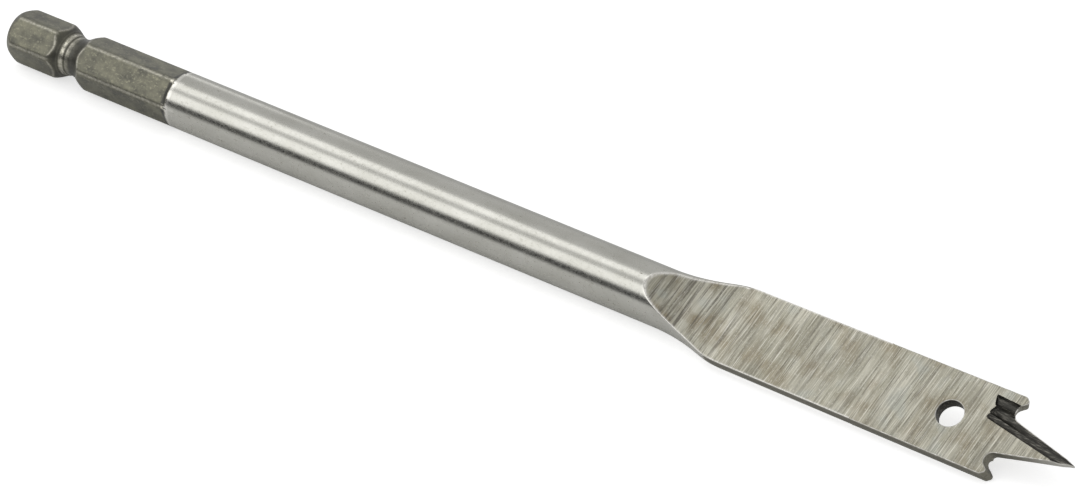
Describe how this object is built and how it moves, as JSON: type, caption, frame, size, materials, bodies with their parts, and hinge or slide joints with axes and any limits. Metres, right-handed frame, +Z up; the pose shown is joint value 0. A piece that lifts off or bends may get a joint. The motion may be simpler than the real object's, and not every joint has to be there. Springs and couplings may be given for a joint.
{
  "type": "spade drill bit",
  "caption": "Flat spade drill bit for boring holes in wood, with a grooved hex power shank, a round shaft and a pierced flat blade that ends in a fluted brad point, lips and spurs.",
  "frame": {"origin": "centre of the bit's outline on the surface that it lies on, half way along it and under its axis", "axes": "+X along the bit towards the brad point, +Z up from the surface; the blade is rolled about X as it comes to rest on the shaft and one blade edge"},
  "size_m": [0.152, 0.0094, 0.007],
  "materials": {
    "tool_steel": "satin"
  },
  "bodies": {
    "root": {"spade_bit": "tool_steel"}
  },
  "joints": []
}
